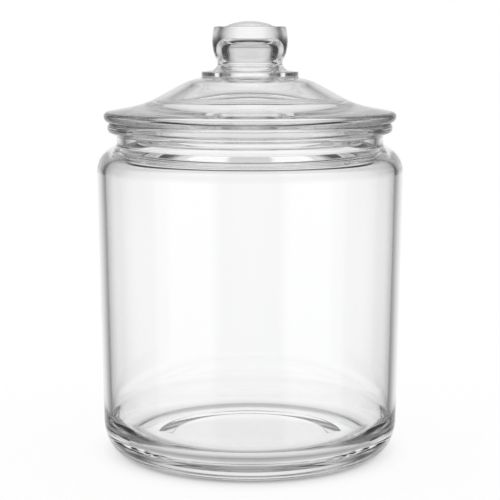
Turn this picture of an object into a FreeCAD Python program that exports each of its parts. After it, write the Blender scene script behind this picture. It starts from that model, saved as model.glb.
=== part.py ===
"""A clear pressed-glass biscuit jar with its loose glass lid, in millimetres.

The jar is a straight-sided pot with a thick pushed-up base, a round shoulder, a short neck and a
bead round the rim. The lid is an ogee dome whose brim lies on the rim. A skirt under the brim drops
into the mouth and keeps the lid centred, and a hollow barrel knob stands on a thin collar.
Both pieces are turned about Z. The origin is the middle of the foot, on the table, with +Z up.
"""

import FreeCAD
import Part

import math
import os

# ---- sizes of the jar ---------------------------------------------------------------------------
BODY_RADIUS = 89.2            # outside of the wall where it meets the shoulder
BODY_TAPER = 2.5              # the wall's outside is this much narrower at the heel
WALL = 4.7                    # thickness of the side wall

SHOULDER_Z = 181.0            # top of the shoulder, where the neck rises from it
SHOULDER_FALL = 4.2           # how far the shoulder falls from the neck to the wall
SHOULDER_ROUND = 15.1         # outside round from the wall to the shoulder
SHOULDER_THICKNESS = 3.9      # thickness of the shoulder beside the neck
SHOULDER_INNER_FALL = 4.4     # how far the shoulder's inside falls from the neck to the wall
SHOULDER_INNER_ROUND = 10.4   # inside round from the wall to the shoulder

SHOULDER_WIDTH = 11.6         # from the outside of the wall in to the outside of the neck
NECK_WALL = 5.0               # thickness of the neck
NECK_HEIGHT = 13.0            # from the shoulder up to the rim, where the lid lies
NECK_ROOT_ROUND = 1.2         # round where the neck meets the shoulder outside
MOUTH_ROOT_ROUND = 3.0        # round where the mouth opens into the shoulder

BEAD_WIDTH = 5.2              # how far the bead round the rim stands out from the neck
BEAD_HEIGHT = 7.3             # from the bead's foot on the neck to the rim
BEAD_SLOPE = 2.3              # height of the bead's sloping underside
BEAD_ROUND = 2.3              # rounds of the bead's outer edges
BEAD_ROOT_ROUND = 1.0         # round where the bead meets the neck
RIM_INNER_ROUND = 1.5         # round of the rim's inner edge

HEEL_WIDTH = 5.5              # how far the heel's sloping side draws in from the wall to the foot
HEEL_HEIGHT = 14.8            # height of that sloping side
HEEL_LOW_ROUND = 13.8         # outside round from the sloping side to the foot
HEEL_HIGH_ROUND = 26.8        # outside round from the wall to the sloping side
INNER_HEEL_ROUND = 17.5       # inside round from the wall to the floor
FLOOR_Z = 11.0                # height of the middle of the floor inside
FLOOR_RISE = 0.8              # how far the middle of the floor stands above its edge

FOOT_WIDTH = 12.0             # flat ring on which the jar stands
PUSH_UP = 1.8                 # how far the underside is pushed up inside the foot
PUSH_UP_SLOPE = 10.0          # width of the slope from the foot to the raised underside
PUSH_UP_ROUND = 10.0          # rounds at the two ends of that slope

# ---- sizes of the lid ---------------------------------------------------------------------------
SEAT_GAP = 0.02               # clearance between the brim and the rim
SKIRT_CLEARANCE = 3.0         # play of the skirt in the mouth, on the radius
SKIRT_DEPTH = 12.0            # how far the skirt reaches below the rim
SKIRT_DRAFT = 3.6             # the skirt's outside is this much narrower at its lower edge
SKIRT_WALL = 5.4              # thickness of the skirt at its lower edge
SKIRT_ROUND = 2.6             # rounds of the skirt's lower edge
SKIRT_ROOT_ROUND = 1.5        # round where the skirt meets the brim

BRIM_OVERHANG = 2.2           # how far the brim reaches beyond the bead
BRIM_THICKNESS = 5.9          # thickness of the brim at its edge
BRIM_TOP_ROUND = 2.8          # round of the brim's upper edge
BRIM_SEAT_ROUND = 3.9         # round of the brim's lower edge

DOME_FOOT_INSET = 4.8         # from the skirt's lower edge in to where brim and dome side cross
DOME_FOOT_RISE = 4.4          # height of that crossing above the brim's edge
DOME_FOOT_ROUND = 61.0        # hollow round between the brim and the dome
DOME_HIP_WIDTH = 7.5          # from the collar's edge out to where dome side and top cross
DOME_HIP_RISE = 13.9          # height of that crossing above the dome's foot
DOME_HIP_ROUND = 38.0         # full round between the side and the top of the dome

INNER_FOOT_INSET = 2.2        # from the skirt's inner edge in to where its inside meets the dome's
INNER_FOOT_DROP = 6.0         # depth of that crossing below the dome's foot outside
INNER_FOOT_ROUND = 15.0
INNER_HIP_INSET = 5.7         # the same crossing on the dome's inside is this much nearer Z
INNER_HIP_DROP = 3.5          # depth of that crossing below the dome's hip outside
INNER_HIP_ROUND = 20.0

COLLAR_WIDTH = 11.2           # how far the thin disc under the knob stands out from its root
COLLAR_RISE = 1.6             # height of the collar's underside above the dome's hip
COLLAR_THICKNESS = 3.4
COLLAR_ROUND = 0.6            # rounds of the collar's edge

KNOB_ROOT_INSET = 5.9         # from the barrel in to where knob side and collar top cross
KNOB_ROOT_RISE = 1.5          # height of that crossing above the collar's edge
KNOB_ROOT_ROUND = 4.0         # hollow round of the knob's waist
BARREL_RADIUS = 22.9          # where the upper and lower lines of the knob's side cross
BARREL_RISE = 13.1            # height of that crossing above the knob's root
BARREL_ROUND = 23.0           # full round of the knob's side
KNOB_RIM_INSET = 2.1          # from the barrel in to the edge of the knob's flat top
KNOB_RIM_RISE = 11.2          # height of the flat top above the middle of the barrel
KNOB_RIM_ROUND = 0.8
CROWN_INSET = 5.8             # from the edge of the flat top in to the low crown on it
CROWN_RISE = 3.1
CROWN_ROUND = 34.0

KNOB_WALL = 3.6               # glass between the knob's root and the hollow inside it
BORE_CROWN = 7.0              # glass between the top of the hollow and the knob's flat top
BORE_TOP_ROUND = 5.0          # round at the top of the hollow
BORE_MOUTH_DROP = 3.5         # depth of the hollow's mouth below the collar's underside
BORE_MOUTH_ROUND = 3.0        # round where the hollow opens into the dome

# ---- places that both pieces share --------------------------------------------------------------
NECK_RADIUS = BODY_RADIUS - SHOULDER_WIDTH
MOUTH_RADIUS = NECK_RADIUS - NECK_WALL
BEAD_RADIUS = NECK_RADIUS + BEAD_WIDTH
RIM_Z = SHOULDER_Z + NECK_HEIGHT


def rounded(corners):
    """The points of (radius, z, round) corners, and how far each round reaches along its sides.

    Two rounds that need more than the side between them share it in proportion.
    """
    points = [FreeCAD.Vector(r, 0, z) for r, z, _ in corners]
    reaches = [0.0] * len(points)
    for i in range(1, len(points) - 1):
        turn = math.pi - (points[i - 1] - points[i]).getAngle(points[i + 1] - points[i])
        reaches[i] = corners[i][2] * math.tan(turn / 2)
    fits = [1.0] * len(points)
    for i in range(1, len(points)):
        side = (points[i] - points[i - 1]).Length
        wanted = reaches[i - 1] + reaches[i]
        if wanted > side:
            fits[i - 1] = min(fits[i - 1], side / wanted)
            fits[i] = min(fits[i], side / wanted)
    return points, [reach * fit for reach, fit in zip(reaches, fits)]


def turned(corners):
    """A solid turned about Z from (radius, z, round) corners that start and end on the axis."""
    points, reaches = rounded(corners)
    edges = []
    at = points[0]
    for i in range(1, len(points)):
        start = end = points[i]
        if reaches[i]:
            back = (points[i - 1] - points[i]).normalize()
            ahead = (points[i + 1] - points[i]).normalize()
            start = points[i] + back * reaches[i]
            end = points[i] + ahead * reaches[i]
        if (start - at).Length > 1e-6:
            edges.append(Part.makeLine(at, start))
        if reaches[i]:
            half = back.getAngle(ahead) / 2
            nearest = reaches[i] * (1 - math.sin(half)) / math.cos(half)
            middle = points[i] + (back + ahead).normalize() * nearest
            edges.append(Part.Arc(start, middle, end).toShape())
        at = end
    edges.append(Part.makeLine(points[-1], points[0]))
    face = Part.Face(Part.Wire(edges))
    return face.revolve(FreeCAD.Vector(0, 0, 0), FreeCAD.Vector(0, 0, 1), 360)


def jar():
    """The pot: its outline runs from the push-up round the outside to the rim and back inside."""
    foot_radius = BODY_RADIUS - BODY_TAPER
    heel_radius = foot_radius - HEEL_WIDTH
    foot_outside = heel_radius - HEEL_LOW_ROUND
    foot_inside = foot_outside - FOOT_WIDTH
    bead_z = RIM_Z - BEAD_HEIGHT
    inner_shoulder_z = SHOULDER_Z - SHOULDER_THICKNESS
    return turned([
        (0, PUSH_UP, 0),
        (foot_inside - PUSH_UP_SLOPE, PUSH_UP, PUSH_UP_ROUND),
        (foot_inside, 0, PUSH_UP_ROUND),
        (heel_radius, 0, HEEL_LOW_ROUND),
        (foot_radius, HEEL_HEIGHT, HEEL_HIGH_ROUND),
        (BODY_RADIUS, SHOULDER_Z - SHOULDER_FALL, SHOULDER_ROUND),
        (NECK_RADIUS, SHOULDER_Z, NECK_ROOT_ROUND),
        (NECK_RADIUS, bead_z, BEAD_ROOT_ROUND),
        (BEAD_RADIUS, bead_z + BEAD_SLOPE, BEAD_ROUND),
        (BEAD_RADIUS, RIM_Z, BEAD_ROUND),
        (MOUTH_RADIUS, RIM_Z, RIM_INNER_ROUND),
        (MOUTH_RADIUS, inner_shoulder_z, MOUTH_ROOT_ROUND),
        (BODY_RADIUS - WALL, inner_shoulder_z - SHOULDER_INNER_FALL, SHOULDER_INNER_ROUND),
        (foot_radius - WALL, FLOOR_Z - FLOOR_RISE, INNER_HEEL_ROUND),
        (0, FLOOR_Z, 0),
    ])


def lid():
    """The lid: its outline runs from the knob's crown out to the brim and back underneath."""
    seat_z = RIM_Z + SEAT_GAP
    brim_z = seat_z + BRIM_THICKNESS
    foot_z = brim_z + DOME_FOOT_RISE
    hip_z = foot_z + DOME_HIP_RISE
    collar_z = hip_z + COLLAR_RISE
    collar_top_z = collar_z + COLLAR_THICKNESS
    root_z = collar_top_z + KNOB_ROOT_RISE
    barrel_z = root_z + BARREL_RISE
    knob_z = barrel_z + KNOB_RIM_RISE
    skirt_z = RIM_Z - SKIRT_DEPTH
    brim_radius = BEAD_RADIUS + BRIM_OVERHANG
    skirt_radius = MOUTH_RADIUS - SKIRT_CLEARANCE
    skirt_tip_radius = skirt_radius - SKIRT_DRAFT
    skirt_inner_radius = skirt_tip_radius - SKIRT_WALL
    root_radius = BARREL_RADIUS - KNOB_ROOT_INSET
    rim_radius = BARREL_RADIUS - KNOB_RIM_INSET
    crown_radius = rim_radius - CROWN_INSET
    bore_radius = root_radius - KNOB_WALL
    collar_radius = root_radius + COLLAR_WIDTH
    hip_radius = collar_radius + DOME_HIP_WIDTH
    return turned([
        (0, knob_z + CROWN_RISE, 0),
        (crown_radius / 2, knob_z + CROWN_RISE, CROWN_ROUND),
        (crown_radius, knob_z, 0),
        (rim_radius, knob_z, KNOB_RIM_ROUND),
        (BARREL_RADIUS, barrel_z, BARREL_ROUND),
        (root_radius, root_z, KNOB_ROOT_ROUND),
        (collar_radius, collar_top_z, COLLAR_ROUND),
        (collar_radius, collar_z, COLLAR_ROUND),
        (hip_radius, hip_z, DOME_HIP_ROUND),
        (skirt_tip_radius - DOME_FOOT_INSET, foot_z, DOME_FOOT_ROUND),
        (brim_radius, brim_z, BRIM_TOP_ROUND),
        (brim_radius, seat_z, BRIM_SEAT_ROUND),
        (skirt_radius, seat_z, SKIRT_ROOT_ROUND),
        (skirt_tip_radius, skirt_z, SKIRT_ROUND),
        (skirt_inner_radius, skirt_z, SKIRT_ROUND),
        (skirt_inner_radius - INNER_FOOT_INSET, foot_z - INNER_FOOT_DROP, INNER_FOOT_ROUND),
        (hip_radius - INNER_HIP_INSET, hip_z - INNER_HIP_DROP, INNER_HIP_ROUND),
        (bore_radius, collar_z - BORE_MOUTH_DROP, BORE_MOUTH_ROUND),
        (bore_radius, knob_z - BORE_CROWN, BORE_TOP_ROUND),
        (0, knob_z - BORE_CROWN, 0),
    ])


os.makedirs("parts", exist_ok=True)
jar().exportStep("parts/jar.step")
lid().exportStep("parts/lid.step")
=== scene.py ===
"""Looks of a clear pressed-glass biscuit jar with a loose glass lid.

Blender works in metres. The sizes of the two pieces are in millimetres, as on a drawing of the jar,
and are turned into metres when a mesh is made.
"""

import logging
import math
from dataclasses import dataclass
from enum import Enum

import bpy
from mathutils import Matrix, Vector


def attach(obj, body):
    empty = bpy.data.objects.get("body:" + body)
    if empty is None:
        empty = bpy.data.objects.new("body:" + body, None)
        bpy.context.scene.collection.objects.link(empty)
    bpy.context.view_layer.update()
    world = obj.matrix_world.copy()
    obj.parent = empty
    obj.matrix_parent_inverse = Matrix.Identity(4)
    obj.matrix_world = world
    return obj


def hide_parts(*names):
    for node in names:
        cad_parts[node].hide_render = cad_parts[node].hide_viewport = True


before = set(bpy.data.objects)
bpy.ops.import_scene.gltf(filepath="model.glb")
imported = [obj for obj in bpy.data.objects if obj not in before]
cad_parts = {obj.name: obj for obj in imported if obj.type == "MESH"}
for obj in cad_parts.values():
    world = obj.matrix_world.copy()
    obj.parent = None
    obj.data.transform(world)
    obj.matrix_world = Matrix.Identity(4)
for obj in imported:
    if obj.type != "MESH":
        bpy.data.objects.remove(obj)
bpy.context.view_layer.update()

MM = 0.001
log = logging.getLogger("biscuit_jar")

Colour = tuple[float, float, float, float]
Stops = tuple[tuple[float, float], ...]      # places in rising order, each with the value there

WHITE: Colour = (1.0, 1.0, 1.0, 1.0)


# ---- outlines -----------------------------------------------------------------------------------


@dataclass(frozen=True)
class Corner:
    """A corner of an outline: its distance from the axis, its height and its round, in mm."""

    radius: float
    height: float
    round: float = 0.0

    def point(self) -> Vector:
        """The corner as a point of the half section."""
        return Vector((self.radius, self.height))


@dataclass(frozen=True)
class Station:
    """A point of a finished outline, with the outward normal of the glass there."""

    place: Vector
    normal: Vector


@dataclass
class Outline:
    """The half section that a piece is turned from, given by corners that start and end on the axis.

    Attributes:
        corners: The corners in order, the first and the last on the axis.
        arc_step: The largest turn between two stations on a round, in degrees.
        longest_side: The largest distance between two stations on a straight stretch, in mm.
        shortest_side: The length from which a straight stretch gets stations of its own, in mm.
        edge_round: The round of a corner that is given none, in mm.
    """

    corners: list[Corner]
    arc_step: float = 4.0
    longest_side: float = 12.0
    shortest_side: float = 1e-6
    edge_round: float = 0.15

    def _reaches(self, points: list[Vector]) -> list[float]:
        """How far each round reaches along its two sides.

        Args:
            points: The corners as points.

        Returns:
            The reach at each corner, in mm. Rounds that want more than their side has share it out.
        """
        reaches = [0.0] * len(points)
        for i in range(1, len(points) - 1):
            turn = (points[i] - points[i - 1]).angle(points[i + 1] - points[i])
            reaches[i] = (self.corners[i].round or self.edge_round) * math.tan(turn / 2)
        fits = [1.0] * len(points)
        for i in range(1, len(points)):
            side = (points[i] - points[i - 1]).length
            wanted = reaches[i - 1] + reaches[i]
            if wanted > side:
                fits[i - 1] = min(fits[i - 1], side / wanted)
                fits[i] = min(fits[i], side / wanted)
        return [reach * fit for reach, fit in zip(reaches, fits)]

    def stations(self) -> list[Station]:
        """Points along the outline, close enough together for clear glass.

        Returns:
            The stations in order, from the axis round the section and back to the axis.
        """
        points = [corner.point() for corner in self.corners]
        reaches = self._reaches(points)
        area = sum(a.cross(b) for a, b in zip(points, points[1:] + points[:1]))
        outward = 1.0 if area > 0 else -1.0
        made = [Station(points[0], self._side_normal(points[0], points[1], outward))]
        for i in range(1, len(points)):
            back = (points[i - 1] - points[i]).normalized()
            normal = self._side_normal(points[i - 1], points[i], outward)
            self._add_side(made, points[i] + back * reaches[i], normal)
            if reaches[i]:
                following = self._side_normal(points[i], points[i + 1], outward)
                ahead = (points[i + 1] - points[i]).normalized()
                self._add_round(made, points[i], back, ahead, reaches[i], normal, following)
        return made

    @staticmethod
    def _side_normal(start: Vector, end: Vector, outward: float) -> Vector:
        """The normal of a straight side: on its right, or on its left where outward is -1."""
        along = (end - start).normalized()
        return Vector((along.y, -along.x)) * outward

    def _add_side(self, made: list[Station], end: Vector, normal: Vector) -> None:
        """Adds the stations of a straight stretch.

        Args:
            made: The stations so far, which end where the stretch starts.
            end: Where the stretch ends.
            normal: The outward normal of the stretch.
        """
        start = made[-1].place
        length = (end - start).length
        if length < self.shortest_side:
            return
        steps = max(1, math.ceil(length / self.longest_side))
        for step in range(1, steps + 1):
            made.append(Station(start.lerp(end, step / steps), normal))

    def _add_round(self, made: list[Station], corner: Vector, back: Vector, ahead: Vector,
                   reach: float, normal: Vector, following: Vector) -> None:
        """Adds the stations of a round.

        Args:
            made: The stations so far, which end where the round starts.
            corner: The corner that is rounded.
            back: The direction from the corner to the side before it.
            ahead: The direction from the corner to the side after it.
            reach: The distance from the corner to each end of the round.
            normal: The outward normal of the side before.
            following: The outward normal of the side after.
        """
        half = back.angle(ahead) / 2
        radius = reach * math.tan(half)
        centre = corner + (back + ahead).normalized() * (reach / math.cos(half))
        hollow = -1.0 if (corner + back * reach - centre).dot(normal) < 0 else 1.0
        turn = normal.angle(following)
        steps = max(2, math.ceil(math.degrees(turn) / self.arc_step))
        for step in range(1, steps + 1):
            blend = turn * step / steps
            towards = (math.sin(turn - blend) * normal + math.sin(blend) * following) / math.sin(turn)
            made.append(Station(centre + towards * radius * hollow, towards))


@dataclass
class Lathe:
    """Turns an outline about Z into a closed mesh.

    Attributes:
        segments: The number of steps round the axis.
        axis_radius: The radius up to which a station lies on the axis, in metres.
    """

    segments: int = 288
    axis_radius: float = 1e-9

    def turn(self, name: str, outline: Outline) -> bpy.types.Object:
        """Makes the turned piece.

        Args:
            name: The name of the piece.
            outline: The half section.

        Returns:
            The new object, with smooth normals that follow the outline exactly.
        """
        verts, normals, rings = [], [], []
        for station in outline.stations():
            radius = station.place.x * MM
            height = station.place.y * MM
            ring = []
            for step in range(self.segments if radius > self.axis_radius else 1):
                angle = 2 * math.pi * step / self.segments
                ring.append(len(verts))
                verts.append((radius * math.cos(angle), radius * math.sin(angle), height))
                normals.append((station.normal.x * math.cos(angle), station.normal.x * math.sin(angle),
                                station.normal.y))
            rings.append(ring)
        mesh = bpy.data.meshes.new(name)
        mesh.from_pydata(verts, [], self._faces(rings))
        mesh.validate()
        sample = mesh.polygons[len(mesh.polygons) // 2]
        if sample.normal.dot(Vector(normals[sample.vertices[0]])) < 0:
            mesh.flip_normals()
        mesh.shade_smooth()
        mesh.normals_split_custom_set_from_vertices(normals)
        piece = bpy.data.objects.new(name, mesh)
        bpy.context.scene.collection.objects.link(piece)
        return piece

    def _faces(self, rings: list[list[int]]) -> list[tuple[int, ...]]:
        """Joins rings of vertices by faces.

        Args:
            rings: The vertices of each ring in order; a ring on the axis has only one.

        Returns:
            The faces, with three sides where they meet the axis and four elsewhere.
        """
        faces = []
        for lower, upper in zip(rings, rings[1:]):
            for step in range(self.segments):
                after = (step + 1) % self.segments
                corners = [lower[step % len(lower)], lower[after % len(lower)],
                           upper[after % len(upper)], upper[step % len(upper)]]
                faces.append(tuple(dict.fromkeys(corners)))
        return faces


# ---- the pieces ---------------------------------------------------------------------------------


@dataclass
class Jar:
    """The pot of the jar, with its push-up, heel, shoulder, neck and bead. Sizes are in mm."""

    # the wall, which is narrower at the heel by the taper
    body_radius: float = 89.2
    body_taper: float = 2.5
    wall: float = 4.7
    # the shoulder, and how far below its top the mould left its mark
    shoulder_z: float = 181.0
    shoulder_fall: float = 4.2
    shoulder_round: float = 15.1
    shoulder_thickness: float = 3.9
    shoulder_inner_fall: float = 4.4
    shoulder_inner_round: float = 10.4
    mark_drop: float = 13.4
    # the neck, the mouth in it and the bead round the rim
    neck_radius: float = 77.6
    neck_root_round: float = 1.2
    mouth_radius: float = 72.6
    mouth_root_round: float = 3.0
    rim_z: float = 194.0
    bead_radius: float = 82.8
    bead_height: float = 7.3
    bead_slope: float = 2.3
    bead_round: float = 2.3
    bead_root_round: float = 1.0
    rim_inner_round: float = 1.5
    # the heel, which slants in to the foot, and the floor inside
    heel_width: float = 5.5
    heel_height: float = 14.8
    heel_low_round: float = 13.8
    heel_high_round: float = 26.8
    inner_heel_round: float = 17.5
    floor_z: float = 11.0
    floor_rise: float = 0.8
    # the ring that the jar stands on, and the raised underside within it
    foot_width: float = 12.0
    push_up: float = 1.8
    push_up_slope: float = 10.0
    push_up_round: float = 10.0

    def outline(self) -> Outline:
        """Sets out the half section.

        Returns:
            The outline, from the push-up round the outside to the rim and back inside.
        """
        foot_radius = self.body_radius - self.body_taper
        foot_outside = foot_radius - self.heel_width - self.heel_low_round
        foot_inside = foot_outside - self.foot_width
        bead_z = self.rim_z - self.bead_height
        inner_shoulder_z = self.shoulder_z - self.shoulder_thickness
        return Outline([
            Corner(0, self.push_up),
            Corner(foot_inside - self.push_up_slope, self.push_up, self.push_up_round),
            Corner(foot_inside, 0, self.push_up_round),
            Corner(foot_radius - self.heel_width, 0, self.heel_low_round),
            Corner(foot_radius, self.heel_height, self.heel_high_round),
            Corner(self.body_radius, self.shoulder_z - self.shoulder_fall, self.shoulder_round),
            Corner(self.neck_radius, self.shoulder_z, self.neck_root_round),
            Corner(self.neck_radius, bead_z, self.bead_root_round),
            Corner(self.bead_radius, bead_z + self.bead_slope, self.bead_round),
            Corner(self.bead_radius, self.rim_z, self.bead_round),
            Corner(self.mouth_radius, self.rim_z, self.rim_inner_round),
            Corner(self.mouth_radius, inner_shoulder_z, self.mouth_root_round),
            Corner(self.body_radius - self.wall, inner_shoulder_z - self.shoulder_inner_fall,
                   self.shoulder_inner_round),
            Corner(foot_radius - self.wall, self.floor_z - self.floor_rise, self.inner_heel_round),
            Corner(0, self.floor_z),
        ])

    def build(self, lathe: Lathe, glass: "PressedGlass") -> bpy.types.Object:
        """Makes the pot and dresses it.

        Args:
            lathe: What turns the outline.
            glass: The finish.

        Returns:
            The pot, which stands for the jar's own node.
        """
        piece = lathe.turn("jar_glass", self.outline())
        piece.data.materials.append(glass.material())
        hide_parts("jar")
        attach(piece, "root")
        return piece


@dataclass
class Lid:
    """The loose lid, with its skirt, brim, dome, collar and hollow knob. Sizes are in mm."""

    # the seat on the rim, and the skirt that hangs in the mouth
    seat_gap: float = 0.02
    skirt_clearance: float = 3.0
    skirt_depth: float = 12.0
    skirt_draft: float = 3.6
    skirt_wall: float = 5.4
    skirt_round: float = 2.6
    skirt_root_round: float = 1.5
    # the brim
    brim_radius: float = 85.0
    brim_thickness: float = 5.9
    brim_top_round: float = 2.8
    brim_seat_round: float = 3.9
    # the dome outside: its foot is where it meets the brim, its hip where it turns in to the collar
    dome_foot_radius: float = 61.2
    dome_foot_rise: float = 4.4
    dome_foot_round: float = 61.0
    dome_hip_radius: float = 35.7
    dome_hip_rise: float = 13.9
    dome_hip_round: float = 38.0
    # the dome inside
    inner_foot_radius: float = 58.4
    inner_foot_drop: float = 6.0
    inner_foot_round: float = 15.0
    inner_hip_radius: float = 30.0
    inner_hip_drop: float = 3.5
    inner_hip_round: float = 20.0
    # the collar under the knob
    collar_radius: float = 28.2
    collar_rise: float = 1.6
    collar_thickness: float = 3.4
    collar_round: float = 0.6
    # the knob: a waist, a barrel, a flat top and a low crown on it
    knob_root_radius: float = 17.0
    knob_root_rise: float = 1.5
    knob_root_round: float = 4.0
    barrel_radius: float = 22.9
    barrel_rise: float = 13.1
    barrel_round: float = 23.0
    knob_rim_radius: float = 20.8
    knob_rim_rise: float = 11.2
    knob_rim_round: float = 0.8
    crown_radius: float = 15.0
    crown_rise: float = 3.1
    crown_round: float = 34.0
    # the hollow in the knob
    bore_radius: float = 13.4
    bore_crown: float = 7.0
    bore_top_round: float = 5.0
    bore_mouth_drop: float = 3.5
    bore_mouth_round: float = 3.0

    def outline(self, jar: Jar) -> Outline:
        """Sets out the half section.

        Args:
            jar: The jar that the lid fits.

        Returns:
            The outline, from the knob's crown out to the brim and back underneath.
        """
        seat_z = jar.rim_z + self.seat_gap
        brim_z = seat_z + self.brim_thickness
        foot_z = brim_z + self.dome_foot_rise
        hip_z = foot_z + self.dome_hip_rise
        collar_z = hip_z + self.collar_rise
        collar_top_z = collar_z + self.collar_thickness
        root_z = collar_top_z + self.knob_root_rise
        barrel_z = root_z + self.barrel_rise
        knob_z = barrel_z + self.knob_rim_rise
        skirt_radius = jar.mouth_radius - self.skirt_clearance
        skirt_tip_radius = skirt_radius - self.skirt_draft
        skirt_z = jar.rim_z - self.skirt_depth
        return Outline([
            Corner(0, knob_z + self.crown_rise),
            Corner(self.crown_radius / 2, knob_z + self.crown_rise, self.crown_round),
            Corner(self.crown_radius, knob_z),
            Corner(self.knob_rim_radius, knob_z, self.knob_rim_round),
            Corner(self.barrel_radius, barrel_z, self.barrel_round),
            Corner(self.knob_root_radius, root_z, self.knob_root_round),
            Corner(self.collar_radius, collar_top_z, self.collar_round),
            Corner(self.collar_radius, collar_z, self.collar_round),
            Corner(self.dome_hip_radius, hip_z, self.dome_hip_round),
            Corner(self.dome_foot_radius, foot_z, self.dome_foot_round),
            Corner(self.brim_radius, brim_z, self.brim_top_round),
            Corner(self.brim_radius, seat_z, self.brim_seat_round),
            Corner(skirt_radius, seat_z, self.skirt_root_round),
            Corner(skirt_tip_radius, skirt_z, self.skirt_round),
            Corner(skirt_tip_radius - self.skirt_wall, skirt_z, self.skirt_round),
            Corner(self.inner_foot_radius, foot_z - self.inner_foot_drop, self.inner_foot_round),
            Corner(self.inner_hip_radius, hip_z - self.inner_hip_drop, self.inner_hip_round),
            Corner(self.bore_radius, collar_z - self.bore_mouth_drop, self.bore_mouth_round),
            Corner(self.bore_radius, knob_z - self.bore_crown, self.bore_top_round),
            Corner(0, knob_z - self.bore_crown),
        ])

    def build(self, lathe: Lathe, jar: Jar, glass: "PressedGlass") -> bpy.types.Object:
        """Makes the lid and dresses it.

        Args:
            lathe: What turns the outline.
            jar: The jar that the lid fits.
            glass: The finish.

        Returns:
            The lid, which stands for the lid's own node.
        """
        piece = lathe.turn("lid_glass", self.outline(jar))
        piece.data.materials.append(glass.material())
        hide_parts("lid")
        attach(piece, "root")
        return piece


# ---- finishes -----------------------------------------------------------------------------------


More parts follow.
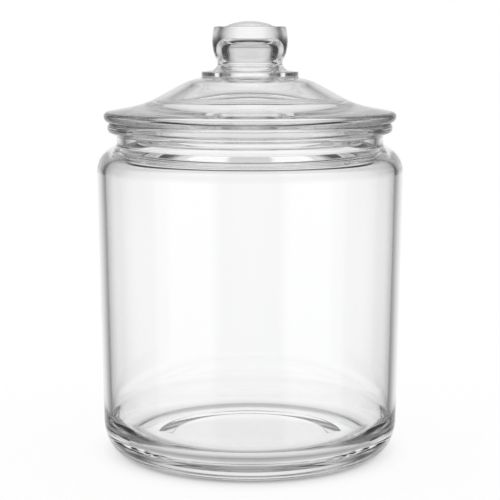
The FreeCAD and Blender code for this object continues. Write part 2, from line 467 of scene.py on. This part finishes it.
@dataclass(frozen=True)
class PressedGlass:
    """Clear soda-lime glass from a mould, faintly waved and with the mark where the mould parts.

    Attributes:
        name: The name of the material.
        mark_z: The height of the ring that the mould leaves, in metres.
        ior: The refractive index.
        clear: The colour of the clearest glass.
        deep: The colour where the melt is a little cooler.
        melt_size: The size of the patches of colour, in metres.
        wave_size: The length of the waves in the surface, in metres.
        wave_height: The height of those waves, in metres.
        mark_width: Half the width of that ring, in metres.
        mark_depth: How far the ring stands out, in metres.
    """

    name: str
    mark_z: float
    ior: float = 1.52
    clear: Colour = WHITE
    deep: Colour = (0.996, 0.998, 1.0, 1.0)
    melt_size: float = 0.12
    wave_size: float = 0.022
    wave_height: float = 0.000012
    mark_width: float = 0.0007
    mark_depth: float = 0.00002

    def material(self) -> bpy.types.Material:
        """Makes the glass, or hands over the glass that is already made.

        Returns:
            The material, with its waves and tint from the shared surface group.
        """
        made = bpy.data.materials.get(self.name)
        if made:
            return made
        made = bpy.data.materials.new(self.name)
        made.use_nodes = True
        tree = made.node_tree
        shader = tree.nodes["Principled BSDF"]
        shader.inputs["Roughness"].default_value = 0.0
        shader.inputs["IOR"].default_value = self.ior
        shader.inputs["Transmission Weight"].default_value = 1.0
        surface = tree.nodes.new("ShaderNodeGroup")
        surface.node_tree = self._surface_group()
        for socket, value in (("Clear", self.clear), ("Deep", self.deep), ("Melt Size", self.melt_size),
                              ("Wave Size", self.wave_size), ("Wave Height", self.wave_height),
                              ("Mark Z", self.mark_z), ("Mark Width", self.mark_width),
                              ("Mark Depth", self.mark_depth)):
            surface.inputs[socket].default_value = value
        tree.links.new(surface.outputs["Tint"], shader.inputs["Base Color"])
        tree.links.new(surface.outputs["Normal"], shader.inputs["Normal"])
        return made

    @staticmethod
    def _surface_group() -> bpy.types.NodeTree:
        """Makes the node group for the surface of pressed glass.

        Returns:
            The group, which turns sizes into the glass's tint and the normal of its waves and mark.
        """
        group = bpy.data.node_groups.new("pressed_surface", "ShaderNodeTree")
        for name in ("Clear", "Deep"):
            group.interface.new_socket(name, in_out="INPUT", socket_type="NodeSocketColor")
        for name in ("Melt Size", "Wave Size", "Wave Height", "Mark Z", "Mark Width", "Mark Depth"):
            group.interface.new_socket(name, in_out="INPUT", socket_type="NodeSocketFloat")
        group.interface.new_socket("Tint", in_out="OUTPUT", socket_type="NodeSocketColor")
        group.interface.new_socket("Normal", in_out="OUTPUT", socket_type="NodeSocketVector")
        given = group.nodes.new("NodeGroupInput")
        made = group.nodes.new("NodeGroupOutput")
        place = group.nodes.new("ShaderNodeTexCoord").outputs["Object"]

        def calculate(operation: str, first: bpy.types.NodeSocket | float,
                      second: bpy.types.NodeSocket | float) -> bpy.types.NodeSocket:
            """Adds one step of arithmetic.

            Args:
                operation: The operation's name.
                first: The first value, as a number or a socket.
                second: The second value, as a number or a socket.

            Returns:
                The socket with the result.
            """
            node = group.nodes.new("ShaderNodeMath")
            node.operation = operation
            for socket, value in zip(node.inputs, (first, second)):
                if isinstance(value, float):
                    socket.default_value = value
                else:
                    group.links.new(value, socket)
            return node.outputs[0]

        def cloud(size: bpy.types.NodeSocket, detail: float) -> bpy.types.NodeSocket:
            """Adds soft noise.

            Args:
                size: The socket with the size of the patches, in metres.
                detail: How many finer layers the noise has.

            Returns:
                The socket with the noise, from 0 to 1.
            """
            noise = group.nodes.new("ShaderNodeTexNoise")
            noise.inputs["Detail"].default_value = detail
            group.links.new(place, noise.inputs["Vector"])
            group.links.new(calculate("DIVIDE", 1.0, size), noise.inputs["Scale"])
            return noise.outputs["Fac"]

        waves = cloud(given.outputs["Wave Size"], 1.0)
        waves = calculate("MULTIPLY", waves, given.outputs["Wave Height"])
        apart = group.nodes.new("ShaderNodeSeparateXYZ")
        group.links.new(place, apart.inputs[0])
        away = calculate("SUBTRACT", apart.outputs["Z"], given.outputs["Mark Z"])
        away = calculate("ABSOLUTE", away, 0.0)
        ridge = calculate("SUBTRACT", 1.0, calculate("DIVIDE", away, given.outputs["Mark Width"]))
        ridge = calculate("MAXIMUM", ridge, 0.0)
        mark = calculate("MULTIPLY", calculate("MULTIPLY", ridge, ridge), given.outputs["Mark Depth"])
        bump = group.nodes.new("ShaderNodeBump")
        bump.inputs["Distance"].default_value = 1.0
        group.links.new(calculate("ADD", waves, mark), bump.inputs["Height"])
        group.links.new(bump.outputs["Normal"], made.inputs["Normal"])
        tint = group.nodes.new("ShaderNodeMix")
        tint.data_type = "RGBA"
        group.links.new(cloud(given.outputs["Melt Size"], 2.0), tint.inputs["Factor"])
        group.links.new(given.outputs["Clear"], tint.inputs["A"])
        group.links.new(given.outputs["Deep"], tint.inputs["B"])
        group.links.new(tint.outputs["Result"], made.inputs["Tint"])
        return group


class Ray(Enum):
    """The kinds of ray that a finish of the studio can tell apart."""

    CAMERA = "Is Camera Ray"
    GLOSSY = "Is Glossy Ray"
    TRANSMISSION = "Is Transmission Ray"


@dataclass(frozen=True)
class TentCloth:
    """Glowing cloth, as painted for the glass, and plain white for what lights the floor.

    Attributes:
        name: The name of the material.
        painted: The name of the painted attribute that holds its light.
    """

    name: str = "tent_cloth"
    painted: str = "light"

    def material(self) -> bpy.types.Material:
        """Makes the cloth.

        Returns:
            The material, which only gives light.
        """
        cloth = bpy.data.materials.new(self.name)
        cloth.use_nodes = True
        tree = cloth.node_tree
        tree.nodes.remove(tree.nodes["Principled BSDF"])
        painted = tree.nodes.new("ShaderNodeAttribute")
        painted.attribute_name = self.painted
        path = tree.nodes.new("ShaderNodeLightPath")
        mix = tree.nodes.new("ShaderNodeMix")
        mix.data_type = "RGBA"
        tree.links.new(path.outputs["Diffuse Depth"], mix.inputs["Factor"])
        tree.links.new(painted.outputs["Color"], mix.inputs["A"])
        mix.inputs["B"].default_value = WHITE
        light = tree.nodes.new("ShaderNodeEmission")
        tree.links.new(mix.outputs["Result"], light.inputs["Color"])
        tree.links.new(light.outputs[0], tree.nodes["Material Output"].inputs["Surface"])
        return cloth


@dataclass(frozen=True)
class TablePaint:
    """White paint that glows to the eye and to the glass, as a table lit from below does.

    Attributes:
        name: The name of the material.
        painted: The name of the painted attribute that dims the glow with a painted contact shadow.
        glow: The share of the white that glows; the rest is paint that the light falls on.
    """

    name: str = "white_floor"
    painted: str = "shade"
    glow: float = 0.9

    def material(self) -> bpy.types.Material:
        """Makes the paint.

        Returns:
            The material, plain white paint for any ray that isn't seen by the eye or the glass.
        """
        white = bpy.data.materials.new(self.name)
        white.use_nodes = True
        tree = white.node_tree
        nodes = tree.nodes
        nodes.remove(nodes["Principled BSDF"])
        diffuse = nodes.new("ShaderNodeBsdfDiffuse")
        diffuse.inputs["Color"].default_value = WHITE
        glow = nodes.new("ShaderNodeEmission")
        path = nodes.new("ShaderNodeLightPath")
        painted = nodes.new("ShaderNodeAttribute")
        painted.attribute_name = self.painted
        # the glow takes its colour from the painted contact shadow, darker round the jar's foot
        tree.links.new(painted.outputs["Color"], glow.inputs["Color"])
        seen = path.outputs[Ray.CAMERA.value]
        for ray in (Ray.GLOSSY, Ray.TRANSMISSION):
            either = nodes.new("ShaderNodeMath")
            either.operation = "MAXIMUM"
            tree.links.new(seen, either.inputs[0])
            tree.links.new(path.outputs[ray.value], either.inputs[1])
            seen = either.outputs[0]
        share = nodes.new("ShaderNodeMath")
        share.operation = "MULTIPLY"
        share.inputs[1].default_value = self.glow
        tree.links.new(seen, share.inputs[0])
        mix = nodes.new("ShaderNodeMixShader")
        tree.links.new(share.outputs[0], mix.inputs["Fac"])
        tree.links.new(diffuse.outputs[0], mix.inputs[1])
        tree.links.new(glow.outputs[0], mix.inputs[2])
        tree.links.new(mix.outputs[0], nodes["Material Output"].inputs["Surface"])
        return white


# ---- studio -------------------------------------------------------------------------------------


@dataclass
class PaintedMesh:
    """A mesh with a grey value painted on each of its points, where 1 is white."""

    verts: list[tuple[float, float, float]]
    faces: list[tuple[int, ...]]
    values: list[float]

    def build(self, name: str, painted: str, material: bpy.types.Material) -> bpy.types.Object:
        """Makes a piece of the studio.

        Args:
            name: The name of the piece.
            painted: The name of the attribute that keeps the values.
            material: The material, which reads that attribute.

        Returns:
            The new object.
        """
        mesh = bpy.data.meshes.new(name)
        mesh.from_pydata(self.verts, [], self.faces)
        colours = mesh.color_attributes.new(painted, "FLOAT_COLOR", "POINT")
        colours.data.foreach_set("color", [part for value in self.values
                                           for part in (value, value, value, 1.0)])
        mesh.materials.append(material)
        piece = bpy.data.objects.new(name, mesh)
        bpy.context.scene.collection.objects.link(piece)
        return piece


@dataclass(frozen=True)
class TentWall:
    """One wall of the light tent.

    Attributes:
        first: Where the wall begins, as an angle from the back, in degrees.
        last: Where it ends; between two walls the light runs from one to the other.
        heights: The share of the light that comes from each height angle, in degrees.
    """

    first: float
    last: float
    heights: Stops


@dataclass
class LightTent:
    """A round tent of light that only the glass sees, bright behind the jar and dark at its sides.

    Attributes:
        radius: The radius of the tent, in metres.
        round_light: The light that comes from each angle from the back, in degrees.
        behind: The wall behind the jar, brightest low down.
        flags: The dark cloths at the two sides, which draw the dark lines in the glass.
        before: The softer light beside and before the jar.
        columns: The number of steps round the tent.
        rows: The number of steps from its lowest point to its highest.
    """

    radius: float = 3.0
    round_light: Stops = (
        (0.0, 1.0), (12.0, 0.97), (18.0, 0.86), (25.0, 0.72), (33.0, 0.50), (40.0, 0.25), (46.0, 0.30),
        (55.0, 0.60), (67.0, 0.80), (75.0, 0.75), (104.0, 0.75), (107.0, 1.10), (150.0, 1.10),
        (156.0, 0.72), (180.0, 0.72))
    behind: TentWall = TentWall(0.0, 28.0, (
        (-90.0, 0.60), (-30.0, 0.95), (5.0, 1.0), (12.0, 0.80), (22.0, 0.75), (32.0, 0.40),
        (50.0, 0.20), (90.0, 0.05)))
    flags: TentWall = TentWall(38.0, 78.0, (
        (-90.0, 0.30), (-40.0, 0.30), (-15.0, 0.70), (-8.0, 1.0), (-4.0, 1.0), (3.0, 0.25), (9.0, 0.0),
        (90.0, 0.0)))
    before: TentWall = TentWall(94.0, 180.0, (
        (-90.0, 0.80), (-40.0, 1.0), (0.0, 1.0), (8.0, 0.25), (20.0, 0.15), (32.0, 0.50), (48.0, 1.0),
        (70.0, 0.90), (90.0, 0.60)))
    columns: int = 360
    rows: int = 120

    def build(self, camera: bpy.types.Object) -> None:
        """Makes the tent and fixes it to the camera's stand.

        Args:
            camera: The camera, which the tent turns with.
        """
        verts, faces, lights = [], [], []
        for row in range(self.rows + 1):
            lift = -90 + 180 * row / self.rows
            reach = self.radius * math.cos(math.radians(lift))
            for column in range(self.columns):
                turn = 360 * column / self.columns
                verts.append((reach * math.sin(math.radians(turn)),
                              reach * math.cos(math.radians(turn)),
                              self.radius * math.sin(math.radians(lift))))
                lights.append(self._light(min(turn, 360 - turn), lift))
                if row < self.rows:
                    here = row * self.columns + column
                    after = row * self.columns + (column + 1) % self.columns
                    faces.append((here, after, after + self.columns, here + self.columns))
        cloth = TentCloth()
        tent = PaintedMesh(verts, faces, lights).build("light_tent", cloth.painted, cloth.material())
        tent.visible_camera = False
        tent.visible_diffuse = False
        tent.visible_shadow = False
        bpy.context.view_layer.update()
        tent.parent = camera
        tent.matrix_parent_inverse = camera.matrix_world.inverted()

    def _light(self, turn: float, lift: float) -> float:
        """The light that comes from one direction.

        Args:
            turn: The angle from the back, in degrees.
            lift: The height angle, in degrees.

        Returns:
            The light there, where 1 is white.
        """
        walls = (self.behind, self.flags, self.before)
        share = self._read(walls[-1].heights, lift)
        for wall, following in reversed(list(zip(walls, walls[1:]))):
            over = min(max((turn - wall.last) / (following.first - wall.last), 0.0), 1.0)
            share = self._read(wall.heights, lift) * (1 - over) + share * over
        return self._read(self.round_light, turn) * share

    @staticmethod
    def _read(stops: Stops, at: float) -> float:
        """Reads the value at a place.

        Args:
            stops: The places and their values.
            at: The place.

        Returns:
            The value there, worked out from the stops on its two sides.
        """
        for (start, low), (end, high) in zip(stops, stops[1:]):
            if start <= at <= end:
                return low + (high - low) * (at - start) / (end - start)
        return stops[-1][1]


@dataclass
class Floor:
    """The white floor: a round table top near the jar, and the rest, which the glass doesn't see.

    Attributes:
        shade: The share of the glow at each radius, in mm: a painted contact shadow, dim under the heel
            and soft beside it.
        edge_radius: The radius of the rest of the floor, in mm.
        segments: The number of steps round both.
        drop: How far the floor lies below the jar's foot, in metres.
    """

    # painted contact shadow: the share of the glow at each radius, in mm
    shade: Stops = ((60.0, 0.95), (66.0, 0.60), (74.0, 0.35), (77.0, 0.60), (79.0, 0.77), (82.0, 0.87),
                    (88.0, 0.97), (95.0, 1.0))
    edge_radius: float = 12000.0
    segments: int = 96
    drop: float = 0.0001

    def build(self) -> None:
        """Makes the table top and the floor round it."""
        paint = TablePaint()
        material = paint.material()
        # the table top carries the painted contact shadow round the jar's foot, seen beside the jar and
        # through the glass
        top = self._plate(self.shade, True).build("table_top", paint.painted, material)
        around = (self.shade[-1], (self.edge_radius, 1.0))
        rest = self._plate(around, False).build("floor", paint.painted, material)
        rest.visible_glossy = False
        rest.visible_transmission = False

    def _plate(self, rings: Stops, filled: bool) -> PaintedMesh:
        """Sets out one flat piece.

        Args:
            rings: The share of the glow at each ring's radius, in mm, from the inside out.
            filled: Whether the innermost ring is filled.

        Returns:
            The mesh, with the glow and its painted contact shadow on it.
        """
        turns = [2 * math.pi * step / self.segments for step in range(self.segments)]
        verts = [(radius * MM * math.cos(turn), radius * MM * math.sin(turn), -self.drop)
                 for radius, _ in rings for turn in turns]
        faces = [tuple(range(self.segments))] if filled else []
        for ring in range(len(rings) - 1):
            for step in range(self.segments):
                here = ring * self.segments + step
                after = ring * self.segments + (step + 1) % self.segments
                faces.append((here, here + self.segments, after + self.segments, after))
        return PaintedMesh(verts, faces, [share for _, share in rings for _ in turns])


@dataclass
class Studio:
    """The plain white world, the floor, the camera and the light tent.

    Attributes:
        camera_distance: How far before the jar's axis the camera stands, in metres.
        camera_height: How far it stands above the jar's foot, in metres.
        camera_tilt: How far it looks down, in degrees.
        lens: Its focal length, in mm.
        clear_bounces: The turns that light may take in all, and through clear glass.
        glossy_bounces: The reflections that it may take.
    """

    camera_distance: float = 0.8762
    camera_height: float = 0.2407
    camera_tilt: float = 7.93
    lens: float = 108.0
    clear_bounces: int = 32
    glossy_bounces: int = 16

    def build(self) -> None:
        """Makes the whole studio."""
        self._world()
        Floor().build()
        LightTent().build(self._camera())
        bpy.context.scene.view_settings.view_transform = "Standard"
        cycles = bpy.context.scene.cycles
        cycles.max_bounces = self.clear_bounces
        cycles.transmission_bounces = self.clear_bounces
        cycles.glossy_bounces = self.glossy_bounces

    @staticmethod
    def _world() -> None:
        """Sets up a plain white world at plain strength."""
        world = bpy.data.worlds.new("plain_white")
        world.use_nodes = True
        background = world.node_tree.nodes["Background"]
        background.inputs["Color"].default_value = WHITE
        background.inputs["Strength"].default_value = 1.0
        bpy.context.scene.world = world

    def _camera(self) -> bpy.types.Object:
        """Sets up the camera, at about the height of the lid's knob and looking slightly down.

        Returns:
            The camera.
        """
        data = bpy.data.cameras.new("camera")
        data.lens = self.lens
        camera = bpy.data.objects.new("camera", data)
        bpy.context.scene.collection.objects.link(camera)
        camera.location = (0, -self.camera_distance, self.camera_height)
        camera.rotation_euler = (math.radians(90 - self.camera_tilt), 0, 0)
        bpy.context.scene.camera = camera
        return camera


def main() -> None:
    """Builds the jar, the lid and the studio."""
    logging.basicConfig(level=logging.INFO, format="%(name)s: %(message)s")
    lathe = Lathe()
    jar = Jar()
    glass = PressedGlass("clear_glass_look", mark_z=(jar.shoulder_z - jar.mark_drop) * MM)
    piece = jar.build(lathe, glass)
    log.info("%s: %d faces", piece.name, len(piece.data.polygons))
    piece = Lid().build(lathe, jar, glass)
    log.info("%s: %d faces", piece.name, len(piece.data.polygons))
    Studio().build()


if __name__ == "__main__":
    main()
